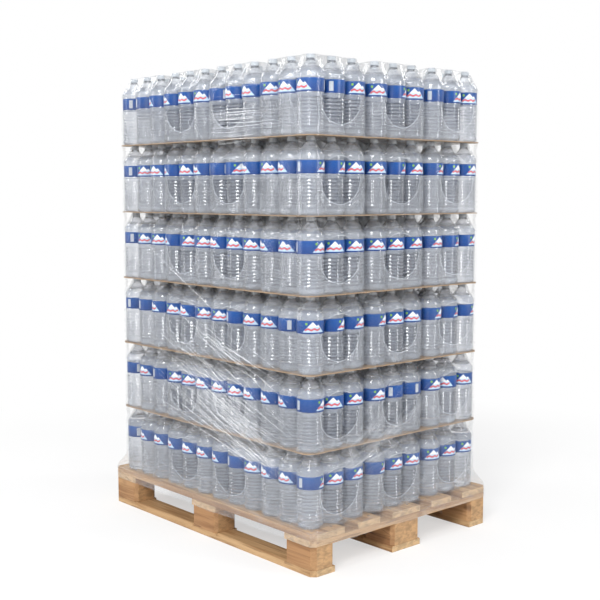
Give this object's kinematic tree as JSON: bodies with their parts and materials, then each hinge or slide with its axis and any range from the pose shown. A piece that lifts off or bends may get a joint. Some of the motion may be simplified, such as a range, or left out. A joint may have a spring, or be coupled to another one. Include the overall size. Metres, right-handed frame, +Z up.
{
  "type": "pallet of bottled water",
  "caption": "Wooden block pallet stacked with layers of clear water bottles in shrink-film packs, kraft sheets between the layers and clear stretch wrap round the load",
  "frame": {"origin": "middle of the pallet's underside, on the floor", "axes": "+X along the pallet's 1200 mm side, +Y along its 900 mm side, +Z up"},
  "size_m": [1.2014, 0.9014, 1.7046],
  "materials": {
    "deck_wood": "sawn",
    "block_wood": "sawn",
    "kraft_sheet": "matt",
    "bottle_plastic": "clear",
    "cap_plastic": "satin",
    "label_print": "gloss",
    "shrink_film": "clear",
    "bottle_core": "clear",
    "stretch_film": "clear"
  },
  "bodies": {
    "root": {"block_left_back": "block_wood", "block_left_centre": "block_wood", "block_left_front": "block_wood", "block_middle_back": "block_wood", "block_middle_centre": "block_wood", "block_middle_front": "block_wood", "block_right_back": "block_wood", "block_right_centre": "block_wood", "block_right_front": "block_wood", "bottles_layer_1": "bottle_plastic", "bottles_layer_2": "bottle_plastic", "bottles_layer_3": "bottle_plastic", "bottles_layer_4": "bottle_plastic", "bottles_layer_5": "bottle_plastic", "bottles_layer_6": "bottle_plastic", "bottom_board_1": "deck_wood", "bottom_board_2": "deck_wood", "bottom_board_3": "deck_wood", "caps_layer_1": "cap_plastic", "caps_layer_2": "cap_plastic", "caps_layer_3": "cap_plastic", "caps_layer_4": "cap_plastic", "caps_layer_5": "cap_plastic", "caps_layer_6": "cap_plastic", "core_layer_1": "bottle_core", "core_layer_2": "bottle_core", "core_layer_3": "bottle_core", "core_layer_4": "bottle_core", "core_layer_5": "bottle_core", "cross_board_1": "deck_wood", "cross_board_2": "deck_wood", "cross_board_3": "deck_wood", "deck_board_1": "deck_wood", "deck_board_2": "deck_wood", "deck_board_3": "deck_wood", "deck_board_4": "deck_wood", "deck_board_5": "deck_wood", "labels_layer_1": "label_print", "labels_layer_2": "label_print", "labels_layer_3": "label_print", "labels_layer_4": "label_print", "labels_layer_5": "label_print", "labels_layer_6": "label_print", "layer_sheet_1": "kraft_sheet", "layer_sheet_2": "kraft_sheet", "layer_sheet_3": "kraft_sheet", "layer_sheet_4": "kraft_sheet", "layer_sheet_5": "kraft_sheet", "pack_film_layer_1": "shrink_film", "pack_film_layer_2": "shrink_film", "pack_film_layer_3": "shrink_film", "pack_film_layer_4": "shrink_film", "pack_film_layer_5": "shrink_film", "pack_film_layer_6": "shrink_film", "stretch_wrap": "stretch_film"}
  },
  "joints": []
}
